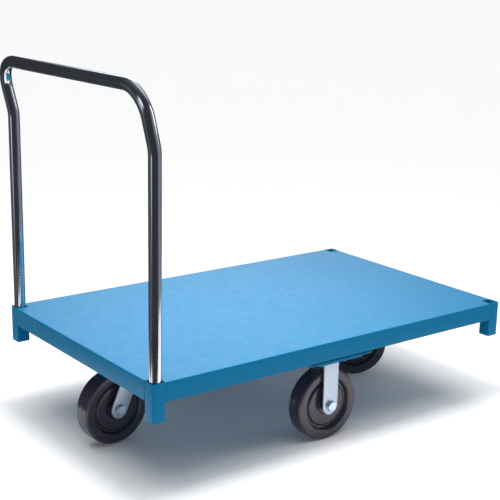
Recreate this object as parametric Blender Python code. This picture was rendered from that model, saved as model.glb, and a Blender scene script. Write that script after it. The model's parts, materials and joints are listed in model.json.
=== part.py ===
"""Platform truck: steel deck on four diamond-pattern casters, with a lift-out tube handle.

Frame: metres, +Z up, +X away from the handle. The origin is on the floor, under the centre
of the overall box, so the deck sits a little towards +X of it (the handle leans out over -X).
"""
import math

import bmesh
import bpy
from mathutils import Matrix, Vector

INCH = 0.0254
GAP = 0.0003                      # clearance between two pieces that touch

# Deck and frame
LENGTH = 48 * INCH
WIDTH = 30 * INCH
DECK_TOP = 12 * INCH
SHEET = 0.0030                    # deck sheet thickness
SHEET_EDGE = 0.0020               # rounding of the deck sheet's upper edge
RAIL_HEIGHT = 2 * INCH            # deck top to the rail's lower edge
RAIL_LEG = 1.5 * INCH             # horizontal leg of the rail angle
RAIL_WALL = 0.0030
POST_SIDE = 1.5 * INCH
POST_WALL = 0.0021
POST_ROUND = 0.0045
POST_LENGTH = 4 * INCH
STOP_THICK = 0.0060
STOP_INSET = 0.0030               # stop plate above the post's lower end

# Handle
TUBE_R = 0.625 * INCH
TUBE_WALL = 0.0020
KINK_RISE = 0.558                 # deck top to the kink in each leg
BAR_RISE = 0.7035                 # deck top to the middle of the cross bar
LEAN = math.radians(13.0)
KINK_BEND = 0.130                 # bend radii on the tube's centre line
CORNER_BEND = 0.075
TUBE_SIDES = 16

# Casters
WHEEL_R = 4 * INCH
WHEEL_SIDES = 28                  # a multiple of 4, so that a flat side stands on the floor
CASTER_HEIGHT = 9.5 * INCH
PLATE_X = 4 * INCH
PLATE_Y = 4.5 * INCH
PLATE_THICK = 0.25 * INCH
BOLT_PITCH = 3 * INCH             # square pattern of the four plate bolts
BOLT_R = 0.1875 * INCH
BOLT_HEX_R = 0.0090
BOLT_HEX_THICK = 0.0065
BOLT_TIP = 0.2258                 # height of the plate bolts' lower ends
RIGID_FROM_END = 0.5996           # rigid wheel axle from the handle end
RIGID_FROM_SIDE = 3 * INCH
SWIVEL_FROM_END = 0.1600          # swivel axis from its end of the deck
SWIVEL_LEAD = 0.0525              # axle behind the swivel axis
YAW_HANDLE_END = math.radians(4.6)
YAW_FAR_END = math.radians(-33.0)
FORK_OUT = 0.0352                 # fork leg's outer face from the wheel's middle plane
FORK_LEG = 0.0048
LEG_HALF = 0.0254                 # half of a leg's width, and the radius of its lower end
CROWN_TOP = 0.2160
CROWN_THICK = 0.0060
CROWN_R = 0.0440
RACE_R = 0.0420
KINGPIN_R = 0.25 * INCH
AXLE_R = 0.3125 * INCH
SLEEVE_R = 0.0120
SLEEVE_LENGTH = 0.0580
HEX_THICK = 0.0098
HEX_R = 0.0142                    # axle bolt head, centre to corner

# Cross members under the deck
CHANNEL_WIDTH = 0.2220
CHANNEL_WALL = 0.0040
PAD_WIDTH = 6 * INCH
PAD_THICK = 0.0040                # pad under the middle channel

# Placement worked out from the values above
BAR_OUT = (BAR_RISE - KINK_RISE) * math.tan(LEAN)
TUBE_CORNER = TUBE_R / math.cos(math.pi / TUBE_SIDES)   # so that the tube's flats lie at TUBE_R
OVERHANG = BAR_OUT + TUBE_CORNER - POST_SIDE / 2
END_X = -(LENGTH + OVERHANG) / 2 + OVERHANG       # outer face of the handle end
FAR_X = END_X + LENGTH
SHEET_UNDER = DECK_TOP - SHEET
RAIL_TOP = SHEET_UNDER - GAP
RAIL_BOTTOM = DECK_TOP - RAIL_HEIGHT
POST_BOTTOM = DECK_TOP - POST_LENGTH
STOP_TOP = POST_BOTTOM + STOP_INSET + STOP_THICK
PLATE_UNDER = CASTER_HEIGHT - PLATE_THICK
RIGID_WEB = CASTER_HEIGHT + PAD_THICK + GAP       # underside of the middle channel's web
SWIVEL_WEB = RAIL_BOTTOM + GAP                    # the end channels stay above the rails' edge

BLUE = ((0.028, 0.195, 0.355, 1.0), 0.32, 0.0)
ZINC = ((0.62, 0.68, 0.72, 1.0), 0.38, 1.0)
CHROME = ((0.75, 0.76, 0.78, 1.0), 0.08, 1.0)
PHENOLIC = ((0.012, 0.012, 0.014, 1.0), 0.30, 0.0)
STEEL = ((0.50, 0.51, 0.52, 1.0), 0.42, 1.0)


# --- Tools -----------------------------------------------------------------------------------

def clear_scene():
    for old in list(bpy.data.objects):
        bpy.data.objects.remove(old)


def paint(name, finish):
    """A Principled material with this colour, roughness and metallic value."""
    material = bpy.data.materials.new(name)
    material.use_nodes = True
    shader = material.node_tree.nodes["Principled BSDF"]
    shader.inputs["Base Color"].default_value = finish[0]
    shader.inputs["Roughness"].default_value = finish[1]
    shader.inputs["Metallic"].default_value = finish[2]
    material.diffuse_color = finish[0]
    return material


def to_mesh(name, form, smooth=False):
    """Close a bmesh into a mesh with outward faces."""
    bmesh.ops.recalc_face_normals(form, faces=form.faces)
    mesh = bpy.data.meshes.new(name)
    form.to_mesh(mesh)
    form.free()
    if smooth:
        mesh.shade_smooth()
        mesh.set_sharp_from_angle(angle=math.radians(35))
    return mesh


def place(name, mesh, finish, parent=None, location=(0, 0, 0)):
    """Add one named piece to the scene, with a material of its own."""
    piece = bpy.data.objects.new(name, mesh)
    bpy.context.scene.collection.objects.link(piece)
    piece.parent = parent
    piece.location = location
    if not mesh.materials:
        mesh.materials.append(None)
    piece.material_slots[0].link = "OBJECT"
    piece.material_slots[0].material = paint(name + "_finish", finish)
    return piece


def axis_empty(name, location, turn=0.0, parent=None):
    """An empty on a joint's axis, turned about +Z."""
    empty = bpy.data.objects.new(name, None)
    bpy.context.scene.collection.objects.link(empty)
    empty.parent = parent
    empty.location = location
    empty.rotation_euler = (0, 0, turn)
    return empty


def loft(rings, closed=False):
    """Skin rings of equal point counts. An open loft gets flat end caps, a closed one is a loop."""
    form = bmesh.new()
    loops = [[form.verts.new(point) for point in ring] for ring in rings]
    count = len(loops[0])
    pairs = list(zip(loops, loops[1:]))
    if closed:
        pairs.append((loops[-1], loops[0]))
    for lower, upper in pairs:
        for i in range(count):
            j = (i + 1) % count
            form.faces.new((lower[i], lower[j], upper[j], upper[i]))
    if not closed:
        form.faces.new(list(reversed(loops[0])))
        form.faces.new(loops[-1])
    return form


def prism(outline, low, high, axis="Z"):
    """Extrude a flat outline from low to high. Outline points are (x, y), (x, z) or (y, z)."""
    order = {"Z": lambda a, b, c: (a, b, c), "Y": lambda a, b, c: (a, c, b), "X": lambda a, b, c: (c, a, b)}
    to_point = order[axis]
    return loft([[to_point(a, b, depth) for a, b in outline] for depth in (low, high)])


def rectangle(low, high):
    return [(low[0], low[1]), (high[0], low[1]), (high[0], high[1]), (low[0], high[1])]


def circle(centre, radius, sides):
    steps = [2 * math.pi * (i + 0.5) / sides for i in range(sides)]
    return [(centre[0] + radius * math.cos(t), centre[1] + radius * math.sin(t)) for t in steps]


def arc(centre, radius, start, end, steps):
    """Points of an arc, with the angles in degrees."""
    turns = [math.radians(start + (end - start) * i / steps) for i in range(steps + 1)]
    return [(centre[0] + radius * math.cos(t), centre[1] + radius * math.sin(t)) for t in turns]


def rounded_square(half, radius, steps=3):
    """Outline of a centred square with rounded corners."""
    inner = half - radius
    corners = [((inner, inner), 0), ((-inner, inner), 90), ((-inner, -inner), 180), ((inner, -inner), 270)]
    return [point for centre, start in corners for point in arc(centre, radius, start, start + 90, steps)]


def turned(profile, sides, closed=False):
    """Turn (radius, height) points about +Z, with a flat of the round at angle 0."""
    return loft([[(x, y, z) for x, y in circle((0, 0), r, sides)] for r, z in profile], closed)


def hexagon(radius):
    """Twelve points of a hexagon: its corners and the middles of its sides."""
    flat = radius * math.cos(math.pi / 6)
    reach = [radius if i % 2 == 0 else flat for i in range(12)]
    return [(r * math.cos(math.pi * i / 6), r * math.sin(math.pi * i / 6)) for i, r in enumerate(reach)]


def dozen(radius):
    """Twelve points of a circle, to match the hexagon's."""
    return [(radius * math.cos(math.pi * i / 6), radius * math.sin(math.pi * i / 6)) for i in range(12)]


def stack(sections):
    """Loft (outline, height) sections along +Z."""
    return loft([[(x, y, height) for x, y in outline] for outline, height in sections])


def joined(first, second, operation):
    """Boolean of two bmeshes: UNION or DIFFERENCE."""
    base = bpy.data.objects.new("base", to_mesh("base", first))
    tool = bpy.data.objects.new("tool", to_mesh("tool", second))
    for part in (base, tool):
        bpy.context.scene.collection.objects.link(part)
    cut = base.modifiers.new("cut", "BOOLEAN")
    cut.operation = operation
    cut.solver = "EXACT"
    cut.object = tool
    bpy.context.view_layer.update()
    result = bmesh.new()
    result.from_object(base, bpy.context.evaluated_depsgraph_get())
    for part in (base, tool):
        bpy.data.objects.remove(part)
    bmesh.ops.dissolve_limit(result, angle_limit=math.radians(0.1), verts=result.verts, edges=result.edges)
    return result


def drilled(form, holes, radius, low, high, axis="Z", sides=8):
    """Cut holes through a bmesh, whose flat sides clear this radius."""
    corner = radius / math.cos(math.pi / sides)
    for centre in holes:
        form = joined(form, prism(circle(centre, corner, sides), low, high, axis), "DIFFERENCE")
    return form


# --- Deck and frame --------------------------------------------------------------------------

def deck_sheet():
    """Flat sheet with a square notch round each corner post and a rounded upper edge."""
    notch = POST_SIDE + GAP
    half = WIDTH / 2
    low_x, high_x = END_X, FAR_X
    outline = [
        (low_x + notch, -half), (high_x - notch, -half), (high_x - notch, -half + notch),
        (high_x, -half + notch), (high_x, half - notch), (high_x - notch, half - notch),
        (high_x - notch, half), (low_x + notch, half), (low_x + notch, half - notch),
        (low_x, half - notch), (low_x, -half + notch), (low_x + notch, -half + notch),
    ]
    sheet = place("deck_sheet", to_mesh("deck_sheet", prism(outline, SHEET_UNDER, DECK_TOP)), BLUE)
    bend = sheet.modifiers.new("edge", "BEVEL")
    bend.width = SHEET_EDGE
    bend.segments = 2
    bend.limit_method = "WEIGHT"
    weights = sheet.data.attributes.new("bevel_weight_edge", "FLOAT", "EDGE")
    for edge in sheet.data.edges:
        ends = [sheet.data.vertices[i].co for i in edge.vertices]
        on_top = all(abs(end.z - DECK_TOP) < GAP for end in ends)
        on_rim = all(abs(end.y) > half - GAP for end in ends) or all(
            end.x < low_x + GAP or end.x > high_x - GAP for end in ends)
        weights.data[edge.index].value = 1.0 if on_top and on_rim else 0.0


def rail_outline():
    """Angle section with the outer face at 0, as (inward, height) points."""
    return [
        (0, RAIL_BOTTOM + 0.001), (0.001, RAIL_BOTTOM), (RAIL_WALL, RAIL_BOTTOM),
        (RAIL_WALL, RAIL_TOP - RAIL_WALL), (RAIL_LEG, RAIL_TOP - RAIL_WALL),
        (RAIL_LEG, RAIL_TOP), (0, RAIL_TOP),
    ]


def rails():
    """Four angle rails between the corner posts. The end rails' flat legs stop at the side rails'."""
    clear = POST_SIDE + GAP
    for name, side in (("side_rail_near", -1), ("side_rail_far", 1)):
        outline = [(side * (WIDTH / 2 - depth), z) for depth, z in rail_outline()]
        place(name, to_mesh(name, prism(outline, END_X + clear, FAR_X - clear, "X")), BLUE)
    for name, face, inward in (("end_rail_handle", END_X, 1), ("end_rail_front", FAR_X, -1)):
        outline = [(face + inward * depth, z) for depth, z in rail_outline()]
        half = WIDTH / 2 - clear
        place(name, to_mesh(name, prism(outline, -half, half, "Y")), BLUE)


def corner_positions():
    """Names and centres of the four posts."""
    inset = POST_SIDE / 2
    for end, x in (("handle", END_X + inset), ("front", FAR_X - inset)):
        for side, y in (("near", -WIDTH / 2 + inset), ("far", WIDTH / 2 - inset)):
            yield end + "_" + side, Vector((x, y, 0))


def posts():
    """Square tube posts, open at both ends. The handle's two posts have a stop plate low inside."""
    outer = rounded_square(POST_SIDE / 2, POST_ROUND)
    inner = rounded_square(POST_SIDE / 2 - POST_WALL, POST_ROUND - POST_WALL)
    stop = rounded_square(POST_SIDE / 2 - POST_WALL - GAP, POST_ROUND - POST_WALL)
    levels = ((outer, POST_BOTTOM), (outer, DECK_TOP), (inner, DECK_TOP), (inner, POST_BOTTOM))
    for name, centre in corner_positions():
        rings = [[(x, y, z) for x, y in outline] for outline, z in levels]
        mesh = to_mesh(name, loft(rings, closed=True), smooth=True)
        place("corner_post_" + name, mesh, BLUE, location=centre)
        if name.startswith("handle"):
            plate = prism(stop, POST_BOTTOM + STOP_INSET, STOP_TOP)
            place("pocket_stop_" + name.removeprefix("handle_"), to_mesh(name, plate), BLUE, location=centre)


def bolt_pattern(x, y):
    half = BOLT_PITCH / 2
    return [(x + dx, y + dy) for dx in (-half, half) for dy in (-half, half)]


def cross_member(name, x, web_under, bolts):
    """Channel under the deck, open upwards. Its walls are notched for the side rails' flat legs."""
    web_top = web_under + CHANNEL_WALL
    reach = WIDTH / 2 - RAIL_WALL - GAP
    notch = WIDTH / 2 - RAIL_LEG - GAP
    under_leg = RAIL_TOP - RAIL_WALL - GAP
    half = CHANNEL_WIDTH / 2
    web = prism(rectangle((x - half, -reach), (x + half, reach)), web_under, web_top)
    wall = [(-reach, web_under + 0.001), (reach, web_under + 0.001), (reach, under_leg), (notch, under_leg),
            (notch, RAIL_TOP), (-notch, RAIL_TOP), (-notch, under_leg), (-reach, under_leg)]
    form = joined(web, prism(wall, x - half, x - half + CHANNEL_WALL, "X"), "UNION")
    form = joined(form, prism(wall, x + half - CHANNEL_WALL, x + half, "X"), "UNION")
    form = drilled(form, bolts, BOLT_R + GAP, web_under - 0.01, web_top + 0.01)
    place(name, to_mesh(name, form), BLUE)


def mounting_pad(name, x, reach, web_under, bolts):
    """Flat plate that fills the space between a channel's web and its caster plates."""
    half = PAD_WIDTH / 2
    form = prism(rectangle((x - half, -reach), (x + half, reach)), CASTER_HEIGHT, web_under - GAP)
    form = drilled(form, bolts, BOLT_R + GAP, CASTER_HEIGHT - 0.01, web_under + 0.01)
    place(name, to_mesh(name, form), BLUE)


# --- Handle ----------------------------------------------------------------------------------

def bend_points(before, corner, after, radius, steps):
    """Round a corner of the centre line with an arc of this radius."""
    into = (before - corner).normalized()
    out = (after - corner).normalized()
    half = into.angle(out) / 2
    setback = radius / math.tan(half)
    centre = corner + (into + out).normalized() * (radius / math.sin(half))
    start = corner + into * setback - centre
    axis = into.cross(out).normalized()
    sweep = -(math.pi - 2 * half)
    return [centre + Matrix.Rotation(sweep * i / steps, 3, axis) @ start for i in range(steps + 1)]


def handle_line():
    """Centre line of the handle, from one leg's lower end to the other's."""
    leg_x = END_X + POST_SIDE / 2
    leg_y = WIDTH / 2 - POST_SIDE / 2
    foot = STOP_TOP + GAP
    corners = []
    for side in (-1, 1):
        corners.append([Vector((leg_x, side * leg_y, foot)),
                        Vector((leg_x, side * leg_y, DECK_TOP + KINK_RISE)),
                        Vector((leg_x - BAR_OUT, side * leg_y, DECK_TOP + BAR_RISE))])
    line = []
    for (foot_point, kink, top), other_top in ((corners[0], corners[1][2]), (corners[1], corners[0][2])):
        leg = [foot_point] + bend_points(foot_point, kink, top, KINK_BEND, 3)
        leg += bend_points(kink, top, other_top, CORNER_BEND, 6)
        line.append(leg)
    return line[0] + list(reversed(line[1]))


def tube_rings(line, radius):
    """Rings square to the centre line, with no twist between neighbours."""
    rings = []
    side = Vector((1, 0, 0))
    for i, point in enumerate(line):
        ahead = line[min(i + 1, len(line) - 1)] - point
        behind = point - line[max(i - 1, 0)]
        along = (ahead.normalized() + behind.normalized()).normalized()
        side = (side - along * side.dot(along)).normalized()
        across = along.cross(side)
        rings.append([point + side * u + across * v for u, v in circle((0, 0), radius, TUBE_SIDES)])
    return rings


def handle():
    """Bent tube, open at both lower ends, which lifts straight up out of the two posts."""
    line = handle_line()
    outer = tube_rings(line, TUBE_CORNER)
    inner = tube_rings(line, TUBE_R - TUBE_WALL)
    centre = Vector((END_X + POST_SIDE / 2, 0, DECK_TOP))
    form = loft(outer + list(reversed(inner)), closed=True)
    bmesh.ops.translate(form, verts=form.verts, vec=-centre)
    place("handle_tube", to_mesh("handle_tube", form, smooth=True), CHROME, location=centre)


# --- Casters ---------------------------------------------------------------------------------

def hex_bolt(head_r, head_thick, shank_r, nut_at, nut_thick, tip_at):
    """Bolt and nut in one, along -Z from the head's top at 0."""
    return stack([
        (hexagon(head_r), 0), (hexagon(head_r), -head_thick),
        (dozen(shank_r), -head_thick), (dozen(shank_r), -nut_at),
        (hexagon(head_r), -nut_at), (hexagon(head_r), -nut_at - nut_thick),
        (dozen(shank_r), -nut_at - nut_thick), (dozen(shank_r), -tip_at),
    ])


def plate_bolts(name, web_under, centres):
    """Four bolts that clamp a caster's plate, the pad and the channel web together."""
    head = BOLT_HEX_THICK
    top = web_under + CHANNEL_WALL + GAP + head
    form = hex_bolt(BOLT_HEX_R, head, BOLT_R, top - PLATE_UNDER + GAP, head, top - BOLT_TIP)
    shared = to_mesh("plate_bolt", form)
    for i, (x, y) in enumerate(centres):
        place("%s_bolt_%d" % (name, i + 1), shared, ZINC, location=(x, y, top))


def wheel_profile():
    """Half section of the wheel as (radius, half width) points, from the bore to the tread."""
    return [
        (SLEEVE_R + GAP, 0.0265), (0.0185, 0.0265), (0.0205, 0.0120), (0.0290, 0.0120), (0.0310, 0.0180),
        (0.0640, 0.0165), (0.0680, 0.0125), (0.0740, 0.0254), (0.0940, 0.0254), (0.0994, 0.0232),
        (WHEEL_R, 0.0178),
    ]


def on_axle(form):
    """Turn a shape made along +Z to lie along the axle, +Y."""
    bmesh.ops.rotate(form, verts=form.verts, cent=(0, 0, 0), matrix=Matrix.Rotation(math.radians(-90), 3, "X"))
    return form


def wheel(name, axle):
    """Moulded wheel, steel hub sleeve, axle bolt and axle nut round one axle empty."""
    half = [(r / math.cos(math.pi / WHEEL_SIDES), h) for r, h in wheel_profile()]    # radius of the flats
    profile = [(r, -h) for r, h in half] + [(r, h) for r, h in reversed(half)]
    form = on_axle(turned(profile, WHEEL_SIDES, closed=True))
    place(name + "_wheel", to_mesh(name, form, smooth=True), PHENOLIC, axle)

    ends = SLEEVE_LENGTH / 2
    bore = AXLE_R + GAP
    rim = SLEEVE_R
    sleeve = turned([(bore, -ends), (rim, -ends), (rim, ends), (bore, ends)], 16, closed=True)
    place(name + "_hub_sleeve", to_mesh(name, on_axle(sleeve), smooth=True), STEEL, axle)

    head = FORK_OUT + GAP + HEX_THICK
    tip = head + 0.004
    bolt = stack([(hexagon(HEX_R), -head), (hexagon(HEX_R), -head + HEX_THICK),
                  (dozen(AXLE_R), -head + HEX_THICK), (dozen(AXLE_R), tip)])
    place(name + "_axle_bolt", to_mesh(name, on_axle(bolt)), ZINC, axle)

    low = FORK_OUT + GAP
    nut_rings = [(hexagon(HEX_R), low), (hexagon(HEX_R), low + HEX_THICK)]
    inner = dozen(AXLE_R + GAP)
    rings = [[(x, y, z) for x, y in outline] for outline, z in nut_rings]
    rings += [[(x, y, low + HEX_THICK) for x, y in inner], [(x, y, low) for x, y in inner]]
    place(name + "_axle_nut", to_mesh(name, on_axle(loft(rings, closed=True))), ZINC, axle)


def caster_plate(low, high):
    """Rectangular plate with clipped corners, in the caster's own axes."""
    x, y, clip = PLATE_X / 2, PLATE_Y / 2, 0.008
    outline = [(x, -y + clip), (x, y - clip), (x - clip, y), (-x + clip, y),
               (-x, y - clip), (-x, -y + clip), (-x + clip, -y), (x - clip, -y)]
    return drilled(prism(outline, low, high), bolt_pattern(0, 0), BOLT_R + GAP, low - 0.01, high + 0.01)


def fork_legs(form, outline, axle_x):
    """Add both legs to a fork's top, and drill the axle hole through them."""
    for side in (-1, 1):
        inner, outer = sorted((side * (FORK_OUT - FORK_LEG), side * FORK_OUT))
        form = joined(form, prism(outline, inner, outer, "Y"), "UNION")
    return drilled(form, [(axle_x, WHEEL_R)], AXLE_R + GAP, -0.1, 0.1, "Y")


def rigid_caster(name, x, y):
    """Caster whose fork is welded to its plate."""
    legs = arc((0, WHEEL_R), LEG_HALF, 180, 360, 8)
    legs += [(LEG_HALF, PLATE_UNDER + 0.001), (-LEG_HALF, PLATE_UNDER + 0.001)]
    fork = fork_legs(caster_plate(PLATE_UNDER, CASTER_HEIGHT - GAP), legs, 0.0)
    place(name + "_fork", to_mesh(name, fork), ZINC, location=(x, y, 0))
    wheel(name, axis_empty(name + "_axle", (x, y, WHEEL_R)))
    plate_bolts(name, RIGID_WEB, bolt_pattern(x, y))


def swivel_legs():
    """Outline of a leg that leans from the axle up to the crown, as (x, z) points."""
    rise = CROWN_TOP - WHEEL_R
    lean = math.degrees(math.atan2(SWIVEL_LEAD, rise))
    outline = arc((-SWIVEL_LEAD, WHEEL_R), LEG_HALF, 180 - lean, 360 - lean, 8)
    half = LEG_HALF / math.cos(math.radians(lean))
    top = CROWN_TOP - 0.001
    back = SWIVEL_LEAD * 0.001 / rise
    return outline + [(half - back, top), (-half - back, top)]


def swivel_caster(name, x, yaw):
    """Caster whose fork turns about a kingpin on a ball race, trailing towards -X at yaw 0."""
    top = caster_plate(PLATE_UNDER, CASTER_HEIGHT - GAP)
    place(name + "_top_plate", to_mesh(name, top), ZINC, location=(x, 0, 0))

    low, high = CROWN_TOP + GAP, PLATE_UNDER - GAP
    waist = (low + high) / 2
    hole = 0.0180
    profile = [(hole, low), (RACE_R, low), (RACE_R, waist - 0.002), (RACE_R - 0.003, waist),
               (RACE_R, waist + 0.002), (RACE_R, high), (hole, high)]
    mesh = to_mesh(name, turned(profile, 20, closed=True), smooth=True)
    place(name + "_ball_race", mesh, ZINC, location=(x, 0, 0))

    under = CROWN_TOP - CROWN_THICK - GAP
    pin = stack([(dozen(0.0140), high), (dozen(0.0140), high - 0.005), (dozen(KINGPIN_R), high - 0.005),
                 (dozen(KINGPIN_R), under), (hexagon(0.0110), under), (hexagon(0.0110), under - 0.009)])
    place(name + "_kingpin", to_mesh(name, pin), STEEL, location=(x, 0, 0))

    swivel = axis_empty(name + "_swivel", (x, 0, 0), yaw)
    crown = prism(rounded_crown(), CROWN_TOP - CROWN_THICK, CROWN_TOP)
    crown = drilled(crown, [(0, 0)], KINGPIN_R + GAP, CROWN_TOP - 0.02, CROWN_TOP + 0.01)
    fork = fork_legs(crown, swivel_legs(), -SWIVEL_LEAD)
    place(name + "_fork", to_mesh(name, fork), ZINC, swivel)
    wheel(name, axis_empty(name + "_axle", (-SWIVEL_LEAD, 0, WHEEL_R), parent=swivel))
    plate_bolts(name, SWIVEL_WEB, bolt_pattern(x, 0))


def rounded_crown():
    """A disc clipped to just inside the legs' outer faces."""
    flat = FORK_OUT - 0.0002
    reach = math.degrees(math.asin(flat / CROWN_R))
    return arc((0, 0), CROWN_R, -reach, reach, 8) + arc((0, 0), CROWN_R, 180 - reach, 180 + reach, 8)


# --- Assembly --------------------------------------------------------------------------------

def main():
    clear_scene()
    deck_sheet()
    rails()
    posts()
    handle()
    rigid_x = END_X + RIGID_FROM_END
    rigid_y = WIDTH / 2 - RIGID_FROM_SIDE
    rigid_bolts = bolt_pattern(rigid_x, -rigid_y) + bolt_pattern(rigid_x, rigid_y)
    cross_member("rigid_cross_channel", rigid_x, RIGID_WEB, rigid_bolts)
    mounting_pad("rigid_mounting_pad", rigid_x, WIDTH / 2 - RAIL_WALL - GAP, RIGID_WEB, rigid_bolts)
    rigid_caster("rigid_near", rigid_x, -rigid_y)
    rigid_caster("rigid_far", rigid_x, rigid_y)
    for end, x, yaw in (("handle_end", END_X + SWIVEL_FROM_END, YAW_HANDLE_END),
                        ("front_end", FAR_X - SWIVEL_FROM_END, YAW_FAR_END)):
        cross_member(end + "_cross_channel", x, SWIVEL_WEB, bolt_pattern(x, 0))
        mounting_pad(end + "_mounting_pad", x, PAD_WIDTH / 2, SWIVEL_WEB, bolt_pattern(x, 0))
        swivel_caster(end + "_swivel", x, yaw)


main()
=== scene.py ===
"""Looks of the platform truck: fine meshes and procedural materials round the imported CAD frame."""

import json
import math

import bmesh
import bpy
from mathutils import Matrix, Vector

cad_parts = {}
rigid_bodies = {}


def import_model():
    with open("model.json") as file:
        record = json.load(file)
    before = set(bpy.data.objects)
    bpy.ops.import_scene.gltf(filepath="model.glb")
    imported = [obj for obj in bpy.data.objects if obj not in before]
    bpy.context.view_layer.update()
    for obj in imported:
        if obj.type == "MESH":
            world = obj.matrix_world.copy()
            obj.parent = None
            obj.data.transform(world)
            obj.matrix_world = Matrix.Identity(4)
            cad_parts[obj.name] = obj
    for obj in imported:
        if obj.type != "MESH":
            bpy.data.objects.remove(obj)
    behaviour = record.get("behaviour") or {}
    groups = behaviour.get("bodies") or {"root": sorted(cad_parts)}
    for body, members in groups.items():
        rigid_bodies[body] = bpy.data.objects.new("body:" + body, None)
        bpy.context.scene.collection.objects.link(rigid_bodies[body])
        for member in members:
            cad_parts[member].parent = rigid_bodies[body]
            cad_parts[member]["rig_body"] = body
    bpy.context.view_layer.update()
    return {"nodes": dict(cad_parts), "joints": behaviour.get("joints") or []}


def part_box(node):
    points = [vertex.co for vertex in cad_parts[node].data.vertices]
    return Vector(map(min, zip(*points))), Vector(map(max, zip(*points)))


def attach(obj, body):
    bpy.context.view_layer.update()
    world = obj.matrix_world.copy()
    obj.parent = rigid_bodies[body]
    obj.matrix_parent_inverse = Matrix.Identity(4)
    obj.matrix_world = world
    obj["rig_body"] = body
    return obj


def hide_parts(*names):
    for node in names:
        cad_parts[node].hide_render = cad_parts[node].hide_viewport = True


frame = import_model()

MM = 0.001

# --- Placement read from the frame -----------------------------------------------------------

DECK_LOW, DECK_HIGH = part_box("deck_sheet")
DECK_TOP = DECK_HIGH.z
SHEET_UNDER = DECK_LOW.z
END_X, FAR_X = DECK_LOW.x, DECK_HIGH.x
HALF_WIDTH = DECK_HIGH.y
POST_LOW, POST_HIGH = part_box("corner_post_handle_near")
POST_SIDE = POST_HIGH.x - POST_LOW.x
RAIL_LOW, RAIL_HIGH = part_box("side_rail_near")
TUBE_LOW, TUBE_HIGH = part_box("handle_tube")
JOINTS = {joint["name"]: joint for joint in frame["joints"]}

SEAM = 0.3 * MM                   # clearance that the CAD keeps between pieces that touch
WALL = 3.0 * MM                   # rail and sheet thickness


# --- Mesh tools ------------------------------------------------------------------------------

def add(name, form, body, slot, material, replaces=(), sharp=35, place=None):
    """Turn a bmesh into a named piece that rides on a body and stands for some CAD nodes."""
    bmesh.ops.recalc_face_normals(form, faces=form.faces)
    mesh = bpy.data.meshes.new(name)
    form.to_mesh(mesh)
    form.free()
    mesh.shade_smooth()
    mesh.set_sharp_from_angle(angle=math.radians(sharp))
    return add_mesh(name, mesh, body, material, replaces, place)


def add_mesh(name, mesh, body, material, replaces=(), place=None):
    piece = bpy.data.objects.new(name, mesh)
    bpy.context.scene.collection.objects.link(piece)
    if place is not None:
        piece.matrix_world = place
    if not mesh.materials:
        mesh.materials.append(material)
    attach(piece, body)
    if replaces:
        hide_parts(*replaces)
    return piece


def bevel(piece, width, segments=2, angle=40):
    """Rounded edges, applied to the mesh."""
    round_off = piece.modifiers.new("round", "BEVEL")
    round_off.width = width
    round_off.segments = segments
    round_off.limit_method = "ANGLE"
    round_off.angle_limit = math.radians(angle)
    bpy.context.view_layer.update()
    mesh = bpy.data.meshes.new_from_object(piece.evaluated_get(bpy.context.evaluated_depsgraph_get()))
    piece.modifiers.clear()
    piece.data = mesh
    mesh.shade_smooth()
    mesh.set_sharp_from_angle(angle=math.radians(50))
    return piece


def loft(rings, closed=False):
    """Skin rings of equal point counts. An open loft gets flat caps, a closed one is a loop."""
    form = bmesh.new()
    loops = [[form.verts.new(point) for point in ring] for ring in rings]
    count = len(loops[0])
    pairs = list(zip(loops, loops[1:]))
    if closed:
        pairs.append((loops[-1], loops[0]))
    for lower, upper in pairs:
        for i in range(count):
            j = (i + 1) % count
            form.faces.new((lower[i], lower[j], upper[j], upper[i]))
    if not closed:
        form.faces.new(list(reversed(loops[0])))
        form.faces.new(loops[-1])
    return form


def arc(centre, radius, start, end, steps):
    """Points of an arc, with the angles in degrees."""
    turns = [math.radians(start + (end - start) * i / steps) for i in range(steps + 1)]
    return [(centre[0] + radius * math.cos(t), centre[1] + radius * math.sin(t)) for t in turns]


def circle(radius, sides):
    return [(radius * math.cos(2 * math.pi * i / sides), radius * math.sin(2 * math.pi * i / sides))
            for i in range(sides)]


def rounded_rectangle(half_x, half_y, radius, steps=6):
    """Outline of a centred rectangle with rounded corners."""
    x, y = half_x - radius, half_y - radius
    corners = [((x, y), 0), ((-x, y), 90), ((-x, -y), 180), ((x, -y), 270)]
    return [point for centre, start in corners for point in arc(centre, radius, start, start + 90, steps)]


def fillet(points, radii, steps=5):
    """Round the corners of a closed outline: one radius per point, 0 for a sharp one."""
    rounded = []
    for i, (point, radius) in enumerate(zip(points, radii)):
        corner = Vector(point)
        if radius <= 0:
            rounded.append(tuple(corner))
            continue
        into = (Vector(points[i - 1]) - corner).normalized()
        out = (Vector(points[(i + 1) % len(points)]) - corner).normalized()
        half = into.angle(out) / 2
        start = corner + into * radius / math.tan(half)
        end = corner + out * radius / math.tan(half)
        centre = corner + (into + out).normalized() * radius / math.sin(half)
        first, last = (start - centre).normalized(), (end - centre).normalized()
        for step in range(steps + 1):
            rounded.append(tuple(centre + first.slerp(last, step / steps) * radius))
    return rounded


def turned(profile, sides):
    """Turn a closed profile of (radius, height) points about +Z."""
    return loft([[(x, y, z) for x, y in circle(r, sides)] for r, z in profile], closed=True)


def turned_y(profile, sides):
    """Turn a closed profile of (radius, reach) points about +Y."""
    return loft([[(x, reach, z) for x, z in circle(r, sides)] for r, reach in profile], closed=True)


def prism(outline, low, high, axis="Z"):
    """Extrude an outline along an axis. Its points are (x, y), (x, z) or (y, z) for Z, Y or X."""
    order = {"Z": lambda a, b, c: (a, b, c), "Y": lambda a, b, c: (a, c, b), "X": lambda a, b, c: (c, a, b)}
    to_point = order[axis]
    return loft([[to_point(a, b, depth) for a, b in outline] for depth in (low, high)])


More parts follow.
